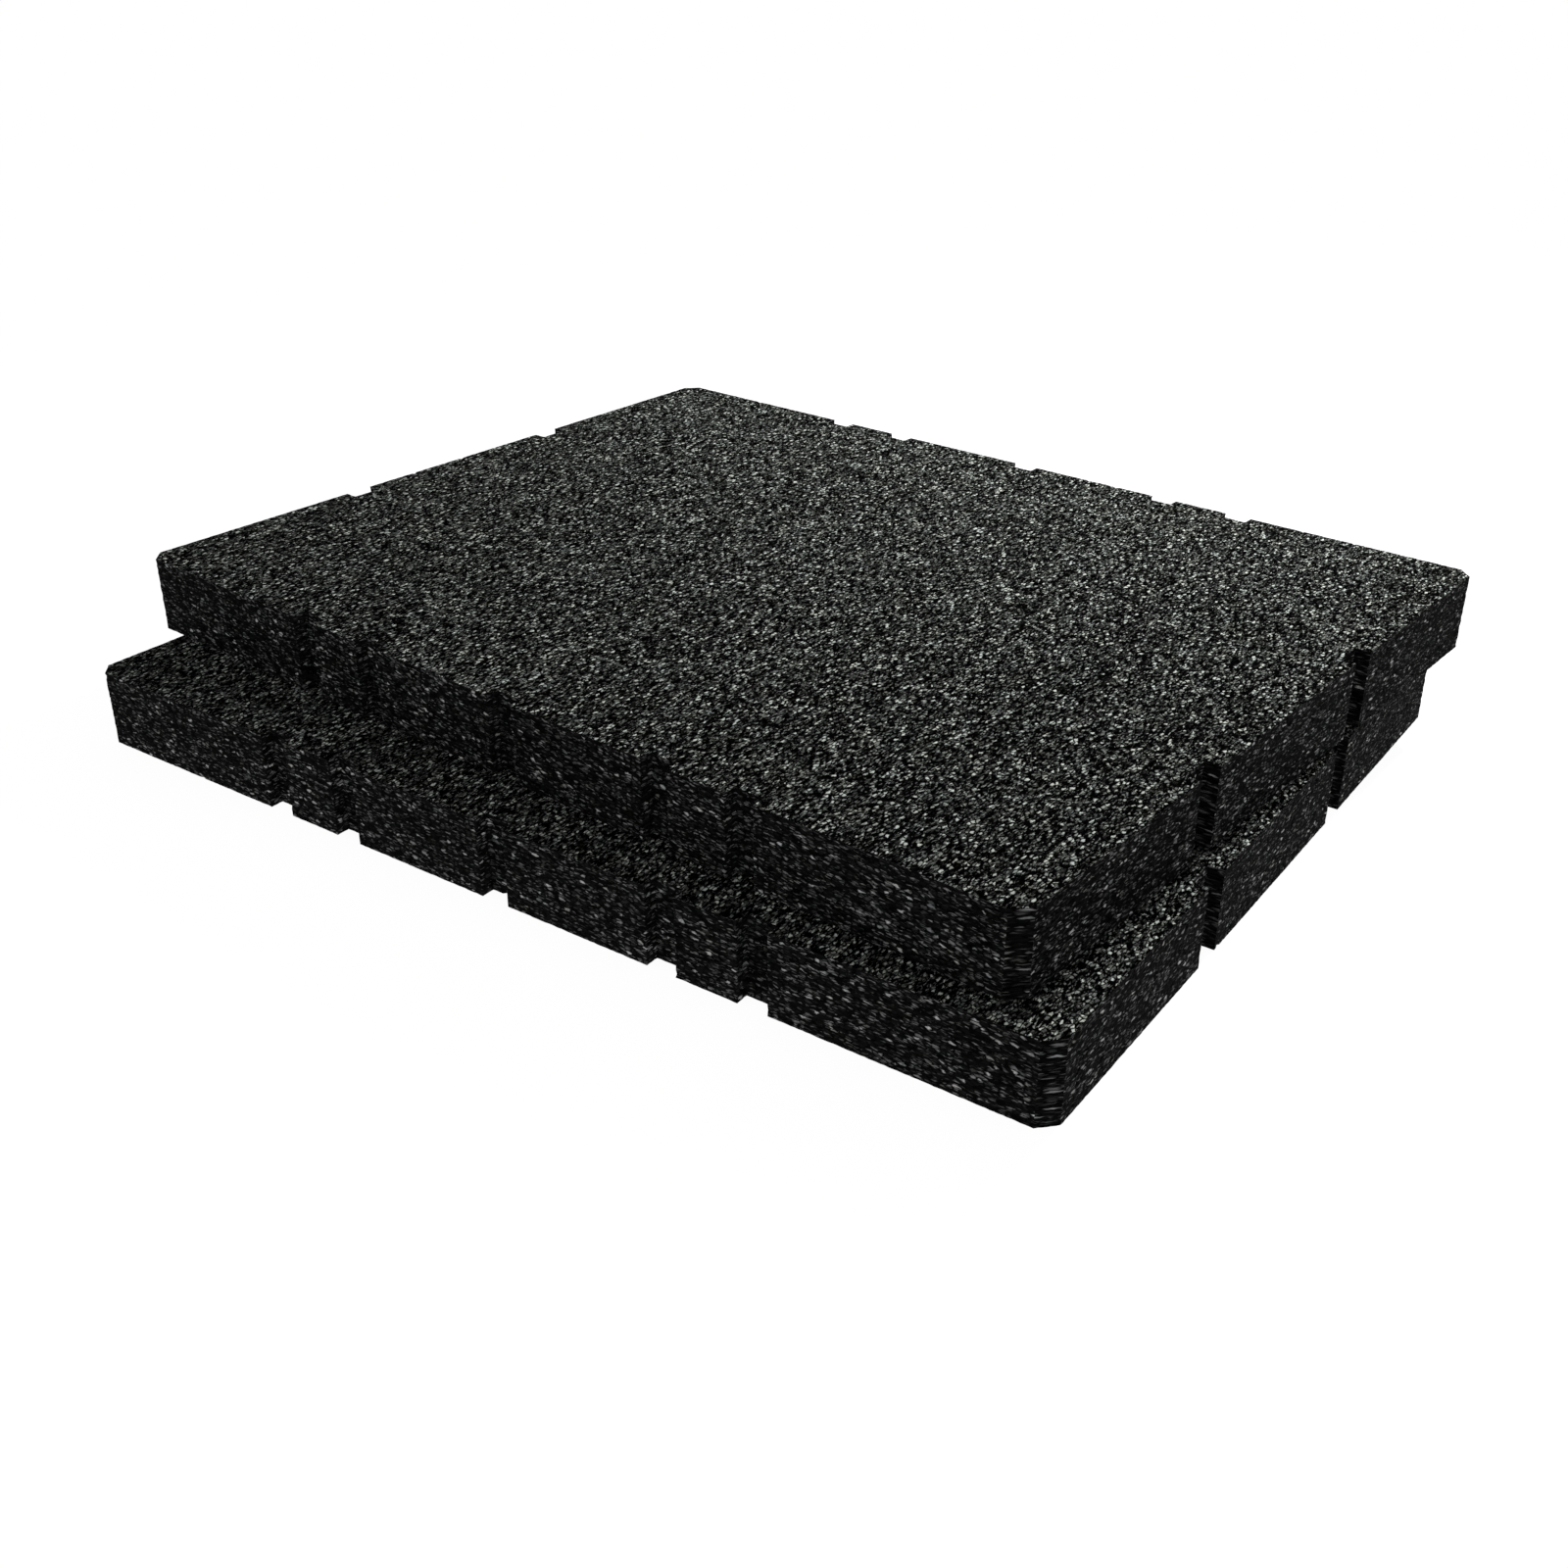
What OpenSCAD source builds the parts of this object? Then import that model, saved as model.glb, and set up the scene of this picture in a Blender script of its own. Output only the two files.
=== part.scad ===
// A pair of loose floor mats of bound rubber granulate, stored one on top of the other.
// Both mats are the same moulded slab: square arrises, a small cut across each corner,
// and full-height notches in all four sides. The upper mat lies a little askew.
// Millimetres, +Z up. The origin is the middle of the lower mat's underside,
// and +X runs along its long sides.

/* [Mat] */
// Length of a mat
mat_length = 600; // [500:10:800]
// Width of a mat
mat_width = 466; // [380:2:600]
// Thickness of a mat
mat_thickness = 43; // [20:1:60]
// Distance that each corner is cut back along both sides
corner_cut = 8; // [2:1:15]

/* [Notches in the long sides] */
// Width of a notch
long_notch_width = 16.5; // [10:0.5:30]
// Depth of a notch, in from the side
long_notch_depth = 7.3; // [4:0.1:15]
// From the middle notch to the next one on either side
inner_notch_offset = 102.5; // [60:0.5:110]
// From the middle notch to the outermost one on either side
outer_notch_offset = 153.5; // [145:0.5:200]

/* [Notches in the short sides] */
// Width of a notch
short_notch_width = 18; // [10:0.5:30]
// Depth of a notch, in from the side
short_notch_depth = 8.3; // [4:0.1:15]
// Between the centres of the two notches
short_notch_spacing = 162.5; // [80:0.5:300]

/* [Upper mat] */
// How far the upper mat is pushed along the length of the lower one
upper_shift_x = -6.5; // [-60:0.5:60]
// How far the upper mat is pushed across the lower one
upper_shift_y = 37; // [-60:0.5:60]
// How far the upper mat is turned, in degrees
upper_turn = -4.5; // [-15:0.5:15]

/* [Hidden] */

rubber = [0.13, 0.135, 0.13];
long_notches = [
    -outer_notch_offset, -inner_notch_offset, 0, inner_notch_offset, outer_notch_offset
];
short_notches = [-short_notch_spacing / 2, short_notch_spacing / 2];

// Outline of a mat without its notches: a rectangle with its corners cut off.
module blank() {
    x = mat_length / 2;
    y = mat_width / 2;
    c = corner_cut;
    polygon([
        [x - c, -y], [x, -y + c], [x, y - c], [x - c, y],
        [-x + c, y], [-x, y - c], [-x, -y + c], [-x + c, -y]
    ]);
}

// Notches at the given places along one side, which runs along X at y = edge.
module notches(places, width, depth, edge) {
    for (at = places) {
        translate([at, edge]) square([width, 2 * depth], center = true);
    }
}

// One mat, standing on z = 0.
module mat() {
    linear_extrude(mat_thickness) difference() {
        blank();
        for (side = [-1, 1]) {
            notches(long_notches, long_notch_width, long_notch_depth, side * mat_width / 2);
            rotate(90) notches(short_notches, short_notch_width, short_notch_depth, side * mat_length / 2);
        }
    }
}

module lower_mat() {
    color(rubber) mat();
}

// The upper mat rests flat on the lower one.
module upper_mat() {
    color(rubber) translate([upper_shift_x, upper_shift_y, mat_thickness]) rotate(upper_turn) mat();
}

lower_mat();
upper_mat();
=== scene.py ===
"""Two loose floor mats of bound rubber granulate, one lying askew on the other.

Each mat's detailed mesh is built on the outline of its own CAD solid: a net of granules over the
top, the sides and the underside, each pressed in a little by a random depth, with crumbs missing
along the arrises. All relief goes inwards, so a mat never leaves the space of its solid.
"""
from math import cos, e, radians, sin

import bpy
import numpy as np
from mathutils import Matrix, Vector, geometry


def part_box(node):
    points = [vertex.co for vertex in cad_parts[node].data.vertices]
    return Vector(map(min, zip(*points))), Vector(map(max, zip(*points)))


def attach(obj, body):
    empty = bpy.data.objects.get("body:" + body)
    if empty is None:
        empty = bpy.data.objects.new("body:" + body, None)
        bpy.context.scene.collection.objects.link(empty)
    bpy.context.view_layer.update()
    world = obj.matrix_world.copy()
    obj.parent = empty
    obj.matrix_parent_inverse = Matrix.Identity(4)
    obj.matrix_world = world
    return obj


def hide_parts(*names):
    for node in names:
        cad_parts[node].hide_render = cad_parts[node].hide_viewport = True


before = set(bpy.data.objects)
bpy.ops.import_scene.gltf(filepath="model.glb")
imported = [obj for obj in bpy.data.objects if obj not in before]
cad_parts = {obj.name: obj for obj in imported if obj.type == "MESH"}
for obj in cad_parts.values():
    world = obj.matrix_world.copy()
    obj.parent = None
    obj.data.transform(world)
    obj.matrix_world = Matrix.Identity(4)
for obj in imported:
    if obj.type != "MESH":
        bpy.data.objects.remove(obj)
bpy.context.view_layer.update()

MM = 0.001
TINY = 0.01 * MM            # points closer than this are one point
PARALLEL = 0.99             # cosine of an angle that is small enough to call two directions one

# Net of granules
PITCH = 2.0 * MM            # between granules on the top and the sides
COARSE_PITCH = 9.0 * MM     # between granules on the underside, which is seldom seen
HONEYCOMB = 1.07            # of the pitch, for a honeycomb with as many granules as a square grid
MARGIN = 0.6                # of the pitch, left free between a face's rim and its own granules
JITTER = 0.27               # how far a granule strays from its place, as a share of the pitch

# Relief, as depths under the moulded face
GRAIN_DEPTH = 0.35 * MM     # of the deepest common granules
GRAIN_SKEW = 1.6            # of their depths: more leaves more of them nearly flush
PIT_SHARE = 0.02            # of granules that have fallen out or sit low
PIT_DEPTH = 1.0 * MM
ARRIS_DEPTH = 0.15 * MM     # how far a granule on an arris may be worn away
ARRIS_SKEW = 1.5            # of that wear, as for the common granules
GAP_SHARE = 0.008           # of granules missing from an arris
GAP_DEPTH = 0.7 * MM
CORNER_WEAR = 0.3           # of the wear and the gaps, at the ends of each arris

# Granules, as they show
CHIP_SIZE = 1.57 * MM
SHARD_SIZE = 0.8 * MM
SHARD_STRETCH = 1.9         # of the thin shards, the way that the face's granules are stretched
SHARD_SHARE = 0.62          # of the shards that show, all of them dimly
SHARD_GREY = 0.37           # of a shard, against a chip's
DARK_EDGE = 0.09            # width of the dark gap along a granule's edge, against its size
UNEVENNESS = 1.35           # of the light greys: more makes bright ones rarer and brighter
DARK_SPREAD = 0.6           # how far a black granule's grey strays, as a share of the usual grey
TOP_STRETCH = 1.75          # of the granules across the mat, as they were spread
SIDE_STRETCH = 2.3          # of the granules along the sides, as they were pressed
CUT_STRETCH = 4.5           # of the granules along the walls that a blade has cut
CUT_SQUEEZE = 0.85          # of their height there
BEND = 0.75 * MM            # how far a granule's outline is bent out of shape
ROUNDING = 0.25 * MM        # height of a granule's middle over its edge
ROUNDING_SHARE = 0.6        # of that rounding that shows
SPECKLE_HEIGHT = 0.4        # of a granule's specks, against its rounding
ROUGHNESS = (0.5, 0.7)      # of the smoothest granule and the roughest
RED_CAST = 0.02             # how far the red drifts over a mat, either way
BLUE_CAST = 0.03            # and the blue, which goes against it

# Noises, with their scales per metre
BEND_SCALE = 1.1 / MM
SPECKLE_SCALE = 2.2 / MM
CAST_SCALE = 0.12 / MM
NOISE = (0.3, 0.7)          # between which nearly all of a noise lies

# Camera
VIEW_AZIMUTH = 35.28
VIEW_ELEVATION = 28.45
VIEW_DISTANCE = 0.9462
AIM_OFFSET = (0.0449, -0.0554)  # of the aim from the middle of the lower mat, on the floor
LENS = 40.03
SENSOR = 36.0

FLOOR_REACH = 12.0          # of the floor, from the middle to each side


# ---------------------------------------------------------------- outline of a mat

def rim_of(node):
    """Corner points of a CAD mat's underside as rows of x and y, anticlockwise seen from above."""
    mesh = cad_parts[node].data
    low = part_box(node)[0].z
    points = [tuple(round(c, 6) for c in v.co) for v in mesh.vertices]
    edges = set()
    for face in mesh.polygons:
        corners = [points[i] for i in face.vertices]
        if all(abs(p[2] - low) < TINY for p in corners):
            edges |= set(zip(corners, corners[1:] + corners[:1]))
    after = {b: a for a, b in edges if (b, a) not in edges}
    loop = [min(after)]
    while after[loop[-1]] != loop[0]:
        loop.append(after[loop[-1]])
    return np.array(loop)[:, :2]


def directions(rim):
    """Unit vectors along the mat's length and across it."""
    edges = np.roll(rim, -1, 0) - rim
    lengths = np.linalg.norm(edges, axis=1)
    way = edges[lengths.argmax()] / lengths.max()
    turned = np.array([-way[1], way[0]])
    return (way, turned) if np.ptp(rim @ way) > np.ptp(rim @ turned) else (turned, -way)


def subdivided(rim, pitch):
    """The rim with points a pitch apart along its edges, which keeps every corner."""
    ring = []
    for start, end in zip(rim, np.roll(rim, -1, 0)):
        steps = max(1, round(np.linalg.norm(end - start) / pitch))
        ring += [start + (end - start) * k / steps for k in range(steps)]
    return np.array(ring)


def outward(ring):
    """Unit vectors that point out of the mat at each point of the ring, square to its sides."""
    along = np.roll(ring, -1, 0) - ring
    along /= np.linalg.norm(along, axis=1)[:, None]
    normal = np.stack([along[:, 1], -along[:, 0]], 1)
    both = normal + np.roll(normal, 1, 0)
    return both / np.linalg.norm(both, axis=1)[:, None]


def cut_walls(rim, ring):
    """Which steps of the ring run along a corner cut or a side wall of a notch in a short side."""
    length_way, across_way = directions(rim)
    step = np.roll(ring, -1, 0) - ring
    step /= np.linalg.norm(step, axis=1)[:, None]
    runs_along = np.abs(step @ length_way) > PARALLEL
    runs_across = np.abs(step @ across_way) > PARALLEL
    middle = (ring + np.roll(ring, -1, 0)) / 2
    u, v = middle @ length_way, middle @ across_way
    left, right = (ring @ length_way).min(), (ring @ length_way).max()
    low, high = (ring @ across_way).min(), (ring @ across_way).max()
    on_long_side = np.minimum(v - low, high - v) < np.minimum(u - left, right - u)
    return ~runs_across & ~(runs_along & on_long_side)


def inside(points, rim):
    """Which points lie within the rim."""
    x, y = points.T
    odd = np.zeros(len(points), bool)
    for (ax, ay), (bx, by) in zip(rim, np.roll(rim, -1, 0)):
        if ay != by:
            odd ^= ((ay > y) != (by > y)) & (x < (bx - ax) * (y - ay) / (by - ay) + ax)
    return odd


def distance(points, rim):
    """Distance of each point from the rim."""
    nearest = np.full(len(points), np.inf)
    for start, end in zip(rim, np.roll(rim, -1, 0)):
        edge = end - start
        share = np.clip((points - start) @ edge / (edge @ edge), 0, 1)
        gap = np.linalg.norm(points - start - share[:, None] * edge, axis=1)
        nearest = np.minimum(nearest, gap)
    return nearest


# ---------------------------------------------------------------- mesh of a mat

def grain(shape, rng):
    """Depths of granules in a moulded face: most are nearly flush, and a few sit low."""
    depth = GRAIN_DEPTH * rng.random(shape) ** GRAIN_SKEW
    pit = rng.random(shape) < PIT_SHARE
    return np.where(pit, PIT_DEPTH * rng.uniform(0.5, 1, shape), depth)


def arris(shape, rng):
    """Depths of granules along an arris: all are a little worn, and a few have broken out."""
    depth = ARRIS_DEPTH * rng.uniform(0.1, 1, shape) ** ARRIS_SKEW
    gap = rng.random(shape) < GAP_SHARE
    return np.where(gap, GAP_DEPTH * rng.uniform(0.5, 1, shape), depth)


def side_granules(ring, levels, rng):
    """Granules of the sides, a ring of them at each level, from the top arris to the bottom one.

    The second result is how far each is shifted along the ring, as a share of its step there.
    """
    step = np.roll(ring, -1, 0) - ring
    before = np.roll(step, 1, 0)
    straight = np.abs(step[:, 0] * before[:, 1] - step[:, 1] * before[:, 0]) < TINY * PITCH
    shape = (len(levels), len(ring))
    inner = np.zeros(shape)
    inner[1:-1] = 1
    drop = inner * rng.uniform(-JITTER, JITTER, shape) * (levels[0] - levels[1])
    shift = inner * straight * rng.uniform(-JITTER, JITTER, shape)
    worn = arris(shape, rng) * np.where(straight, 1, CORNER_WEAR)
    depth = np.where(inner, grain(shape, rng), worn)
    points = np.zeros((*shape, 3))
    points[..., :2] = ring + shift[..., None] * step - depth[..., None] * outward(ring)
    points[..., 2] = levels[:, None] - drop
    points[0, :, 2] -= worn[0]
    points[-1, :, 2] += worn[-1]
    return points, shift


def split(grid, flip):
    """Two triangles for each cell of a grid, cut along the diagonal that flip picks."""
    a, b, c, d = (g.ravel() for g in (grid[:-1, :-1], grid[:-1, 1:], grid[1:, 1:], grid[1:, :-1]))
    first = np.where(flip, [a, d, b], [a, d, c])
    second = np.where(flip, [b, d, c], [a, c, b])
    return np.hstack([first, second]).T


def side_net(points, shift, ring, cut, layer, rng):
    """Triangles over the side granules, where each corner lies in the pattern of granules, and
    which triangles are on a cut wall."""
    rows, count = shift.shape
    steps = np.linalg.norm(np.roll(ring, -1, 0) - ring, axis=1)
    reach = np.concatenate([[0], np.cumsum(steps / np.where(cut, CUT_STRETCH, SIDE_STRETCH))])
    along = reach[:-1] + shift * np.diff(reach)
    height = points[..., 2]
    on_cut = np.tile(cut, 2 * (rows - 1))
    squeeze = np.where(on_cut, CUT_SQUEEZE, 1)
    index = np.arange(rows * count).reshape(rows, count)
    flip = rng.random((rows - 1) * count) < 0.5
    triangles = split(np.c_[index, index[:, :1]], flip)
    places = np.stack([
        split(np.c_[along, along[:, :1] + reach[-1]], flip),
        split(np.c_[height, height[:, :1]], flip) / squeeze[:, None],
        np.full(triangles.shape, layer),
    ], -1)
    return triangles, places, on_cut


def scattered(rim, pitch, rng):
    """Points over the mat's face, on a jittered honeycomb."""
    step = pitch * HONEYCOMB
    row = step * sin(radians(60))
    low, high = rim.min(0), rim.max(0)
    columns, rows = (int(n) + 2 for n in (high - low) / (step, row))
    i, j = np.meshgrid(np.arange(columns), np.arange(rows))
    points = np.stack([low[0] + (i + j % 2 / 2) * step, low[1] + j * row], -1).reshape(-1, 2)
    points += rng.uniform(-JITTER, JITTER, points.shape) * step
    points = points[inside(points, rim)]
    return points[distance(points, rim) > MARGIN * pitch]


def net(ring, points):
    """Triangles over the ring and the points inside it, as rows of indices into both together."""
    count = len(ring)
    rim_edges = [(i, (i + 1) % count) for i in range(count)]
    both = [Vector(p) for p in np.vstack([ring, points])]
    made = geometry.delaunay_2d_cdt(both, rim_edges, [], 1, TINY)
    triangles = np.array(made[2])
    a, b, c = (np.array([v[:] for v in made[0]])[triangles[:, k]] for k in range(3))
    turned = (b - a)[:, 0] * (c - a)[:, 1] - (b - a)[:, 1] * (c - a)[:, 0] < 0
    triangles[turned] = triangles[turned][:, ::-1]
    return triangles


def face_net(rim, ring, level, way, pitch, layer, rng):
    """Granules inside a pressed face, triangles over the ring and them, and where each corner
    lies in the pattern of granules. way is 1 on the top and -1 on the underside."""
    points = scattered(rim, pitch, rng)
    triangles = net(ring, points)[:, ::way]
    z = level - way * grain(len(points), rng)
    flat = np.vstack([ring, points])
    length_way, across_way = directions(rim)
    places = np.c_[flat @ length_way, flat @ across_way / TOP_STRETCH, np.full(len(flat), layer)]
    return np.c_[points, z], triangles, places[triangles]


def mat_mesh(name, node, seed):
    """The granulate mesh of one mat, with material 0 on the pressed faces, 1 on the sides and 2
    on the cut walls."""
    rng = np.random.default_rng(seed)
    rim = rim_of(node)
    ring = subdivided(rim, PITCH)
    low, high = (corner.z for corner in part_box(node))
    levels = np.linspace(high, low, round((high - low) / PITCH) + 1)

    sides, shift = side_granules(ring, levels, rng)
    face, place, on_cut = side_net(sides, shift, ring, cut_walls(rim, ring), seed + 0.5, rng)
    points, triangles, places = [sides.reshape(-1, 3)], [face], [place]

    # The top and the underside share the outermost rings of the sides.
    count = len(ring)
    start = len(levels) * count
    for level, way, pitch, first in ((high, 1, PITCH, 0), (low, -1, COARSE_PITCH, start - count)):
        inner, face, place = face_net(rim, ring, level, way, pitch, seed + level, rng)
        points.append(inner)
        triangles.append(np.where(face < count, face + first, face - count + start))
        places.append(place)
        start += len(inner)

    mesh = bpy.data.meshes.new(name)
    mesh.from_pydata(np.vstack(points).tolist(), [], np.vstack(triangles).tolist())
    material = np.zeros(len(mesh.polygons), np.int32)
    material[:len(on_cut)] = 1 + on_cut
    mesh.polygons.foreach_set("material_index", material)
    attribute = mesh.attributes.new("granule_place", "FLOAT_VECTOR", "CORNER")
    attribute.data.foreach_set("vector", np.vstack(places).ravel())
    mesh.update()
    return mesh


# ---------------------------------------------------------------- materials

class Nodes:
    """A short way to add and link a material's nodes."""

    def __init__(self, name):
        self.material = bpy.data.materials.new(name)
        self.material.use_nodes = True
        self.tree = self.material.node_tree
        self.tree.nodes.clear()

    def add(self, kind, inputs=None, **settings):
        node = self.tree.nodes.new(kind)
        for key, value in settings.items():
            setattr(node, key, value)
        for key, value in (inputs or {}).items():
            if isinstance(value, bpy.types.NodeSocket):
                self.tree.links.new(value, node.inputs[key])
            else:
                node.inputs[key].default_value = value
        return node

    def math(self, operation, *values):
        node = self.add("ShaderNodeMath", dict(enumerate(values)), operation=operation)
        return node.outputs[0]

    def times(self, a, b):
        return self.math("MULTIPLY", a, b)

    def step(self, value, low, high, to_low=0.0, to_high=1.0):
        """value, brought from low..high to to_low..to_high and held there."""
        node = self.add("ShaderNodeMapRange", {0: value, 1: low, 2: high, 3: to_low, 4: to_high})
        return node.outputs[0]

    def noise(self, at, scale, detail):
        inputs = {"Vector": at, "Scale": scale, "Detail": detail}
        return self.add("ShaderNodeTexNoise", inputs).outputs


def granules(n, at, size, share, grey, peak, highlight_flank):
    """One layer of loose granules: their light grey, their rounding, and their random values.

    Most of the light ones are dim, and a few are several times as bright, up to peak times grey.
    Each one's light is painted brightest in its middle and fades out to the dark gap at its edge,
    a painted highlight on the rounded granule.
    """
    place = {"Vector": at, "Scale": 1 / size, "Randomness": 1.0}
    draw = n.add("ShaderNodeTexVoronoi", place).outputs["Color"]
    draw = n.add("ShaderNodeSeparateColor", {0: draw}).outputs
    edge = n.add("ShaderNodeTexVoronoi", place, feature="DISTANCE_TO_EDGE").outputs["Distance"]
    shown = n.step(draw[0], 1 - share, 1.01 - share)
    rarity = n.times(n.math("LOGARITHM", draw[1], e), -1.0)
    bright = n.times(n.math("POWER", rarity, UNEVENNESS), grey)
    bright = n.math("MINIMUM", bright, peak * grey)
    # light grows from the dark gap at the edge to full at highlight_flank: a painted highlight in
    # each light granule's middle
    light = n.times(n.times(shown, bright), n.step(edge, DARK_EDGE, highlight_flank))
    return light, edge, draw


def granulate(name, lie, share, grey, peak, highlight_flank, crumb, gloss, tint):
    """Bound rubber crumb: black granules, light grey chips and thin shards, dark gaps between.

    lie is 0 where the shards lie along the face's first direction, and 1 for the second. share,
    grey and peak are the chips', highlight_flank is where a chip reaches its full light, the edge
    of its painted highlight, and crumb is the grey of the black granules. tint is the red and the
    blue, against the green.
    """
    n = Nodes(name)
    at = n.add("ShaderNodeAttribute", attribute_name="granule_place").outputs["Vector"]

    # The light granules: chips, and thinner shards among them
    wobble = n.noise(at, BEND_SCALE, 1.0)["Color"]
    bent = n.add("ShaderNodeVectorMath", {0: wobble, 1: (BEND,) * 3, 2: at},
                 operation="MULTIPLY_ADD").outputs[0]
    chip, edge, draw = granules(n, bent, CHIP_SIZE, share, grey, peak, highlight_flank)
    drawn_out = [1.0, 1.0, 1.0]
    drawn_out[lie] = 1 / SHARD_STRETCH
    thin = n.add("ShaderNodeVectorMath", {0: bent, 1: drawn_out}, operation="MULTIPLY").outputs[0]
    shard, _, _ = granules(n, thin, SHARD_SIZE, SHARD_SHARE, grey * SHARD_GREY, peak, highlight_flank)
    speckle = n.noise(at, SPECKLE_SCALE, 2.0)[0]
    light = n.times(n.math("MAXIMUM", chip, shard), n.step(speckle, *NOISE, 0.6, 1.3))

    # The black ones, each of its own darkness, with darker gaps
    spread = DARK_SPREAD * crumb
    dark = n.step(draw[2], 0.0, 1.0, crumb - spread, crumb + spread)
    dark = n.times(dark, n.step(edge, 0.0, 0.1, 0.3, 1.0))
    green = n.math("ADD", light, dark)

    # A cast that changes slowly over the mat
    cast = n.noise(at, CAST_SCALE, 2.0)[0]
    red = n.times(green, n.step(cast, *NOISE, tint[0] - RED_CAST, tint[0] + RED_CAST))
    blue = n.times(green, n.step(cast, *NOISE, tint[1] + BLUE_CAST, tint[1] - BLUE_CAST))
    colour = n.add("ShaderNodeCombineColor", {0: red, 1: green, 2: blue})

    # Each granule is rounded and a little rough
    height = n.math("ADD", n.step(edge, 0.0, 0.3), n.times(speckle, SPECKLE_HEIGHT))
    bump = n.add("ShaderNodeBump", {
        "Strength": ROUNDING_SHARE, "Distance": ROUNDING, "Height": height,
    })
    shader = n.add("ShaderNodeBsdfPrincipled", {
        "Base Color": colour.outputs[0],
        "Roughness": n.step(draw[2], 0.0, 1.0, *ROUGHNESS),
        "Normal": bump.outputs[0],
        "Specular IOR Level": gloss,
    })
    n.add("ShaderNodeOutputMaterial", {"Surface": shader.outputs[0]})
    return n.material


def light_table(name, paint, glow):
    """White paint that glows a little, so that shadows on it are faint."""
    n = Nodes(name)
    shader = n.add("ShaderNodeBsdfPrincipled", {
        "Base Color": (paint, paint, paint, 1.0), "Roughness": 1.0, "Specular IOR Level": 0.0,
        "Emission Color": (1.0, 1.0, 1.0, 1.0), "Emission Strength": glow,
    })
    n.add("ShaderNodeOutputMaterial", {"Surface": shader.outputs[0]})
    return n.material


# ---------------------------------------------------------------- stage

def floor():
    r = FLOOR_REACH
    mesh = bpy.data.meshes.new("floor")
    mesh.from_pydata([(-r, -r, 0), (r, -r, 0), (r, r, 0), (-r, r, 0)], [], [(0, 1, 2, 3)])
    obj = bpy.data.objects.new("floor", mesh)
    mesh.materials.append(light_table("floor_paint", paint=0.05, glow=0.95))
    bpy.context.scene.collection.objects.link(obj)


def lamp(name, at, aim, power, cone, softness):
    """A soft round lamp whose light fades out towards the edge of its cone."""
    data = bpy.data.lights.new(name, "SPOT")
    data.energy = power
    data.spot_size = radians(cone)
    data.spot_blend = 1.0
    data.shadow_soft_size = softness
    obj = bpy.data.objects.new(name, data)
    obj.location = at
    obj.rotation_euler = (Vector(aim) - Vector(at)).to_track_quat("-Z", "Y").to_euler()
    bpy.context.scene.collection.objects.link(obj)


def surroundings(strength):
    """Even white light from all round."""
    world = bpy.data.worlds.new("studio")
    bpy.context.scene.world = world
    world.use_nodes = True
    world.node_tree.nodes["Background"].inputs["Color"].default_value = (1, 1, 1, 1)
    world.node_tree.nodes["Background"].inputs["Strength"].default_value = strength


def camera(middle):
    data = bpy.data.cameras.new("camera")
    data.lens = LENS
    data.sensor_width = SENSOR
    data.clip_start = 0.01
    obj = bpy.data.objects.new("camera", data)
    aim = Vector((middle.x + AIM_OFFSET[0], middle.y + AIM_OFFSET[1], 0.0))
    azimuth, elevation = radians(VIEW_AZIMUTH), radians(VIEW_ELEVATION)
    level, rise = cos(elevation), sin(elevation)
    towards = Vector((sin(azimuth) * level, -cos(azimuth) * level, rise))
    obj.location = aim + VIEW_DISTANCE * towards
    obj.rotation_euler = (-towards).to_track_quat("-Z", "Y").to_euler()
    bpy.context.scene.collection.objects.link(obj)
    bpy.context.scene.camera = obj


# ---------------------------------------------------------------- the scene

low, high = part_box("lower_mat")
camera((low + high) / 2)
bpy.context.scene.view_settings.view_transform = "Standard"
surroundings(1.0)
floor()
lamp("back_lamp", at=(0.3, 1.5, 1.0), aim=(0.2, 0.8, 0.0), power=850.0, cone=76.0, softness=0.1)
lamp("front_fill", at=(1.6, -1.5, 0.4), aim=(0.0, 0.0, 0.0), power=75.0, cone=60.0, softness=0.5)

top = granulate("pressed_face", lie=1, share=0.5, grey=0.12, peak=1.9, highlight_flank=0.26, crumb=0.0003,
                gloss=0.0001, tint=(0.94, 0.92))
side = granulate("moulded_side", lie=0, share=0.21, grey=0.094, peak=2.5, highlight_flank=0.3, crumb=0.0022,
                 gloss=0.0025, tint=(1.0, 1.0))
# the cut walls' granules are darker than the sides': inside the notches this is painted shade for
# their recess, and the corner cuts, which share the material, come out darker too
wall = granulate("cut_wall", lie=0, share=0.2, grey=0.05, peak=2.5, highlight_flank=0.3, crumb=0.0014,
                 gloss=0.002, tint=(1.0, 1.0))
for seed, mat in enumerate(("lower_mat", "upper_mat"), 1):
    piece = bpy.data.objects.new(mat + "_granulate", mat_mesh(mat + "_granulate", mat, seed))
    for material in (top, side, wall):
        piece.data.materials.append(material)
    bpy.context.scene.collection.objects.link(piece)
    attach(piece, mat)
    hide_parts(mat)
